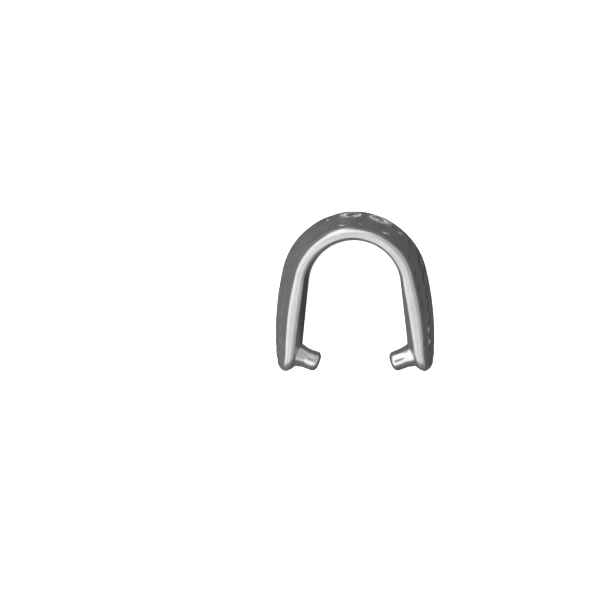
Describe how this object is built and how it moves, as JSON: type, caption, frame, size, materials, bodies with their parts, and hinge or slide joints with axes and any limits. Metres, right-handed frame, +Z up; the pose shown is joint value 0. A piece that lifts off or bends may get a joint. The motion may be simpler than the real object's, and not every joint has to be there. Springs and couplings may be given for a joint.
{
  "type": "pinch bail",
  "caption": "U-shaped jewellery bail with tapering hammered leaves and two facing prongs that pinch into a pendant's drilled hole; a chain passes through the loop.",
  "frame": {"origin": "on the ground under the middle of the bail as it lies on its side", "axes": "+X across the two leaves, +Y from the leaves' tips towards the crown, +Z up, across the width of the leaves"},
  "size_m": [0.0156, 0.0158, 0.0079],
  "materials": {
    "plated_metal": "bright white-metal plating over a casting, hammered outside, satin on the side faces"
  },
  "bodies": {
    "root": {"bail": "plated_metal"}
  },
  "joints": []
}
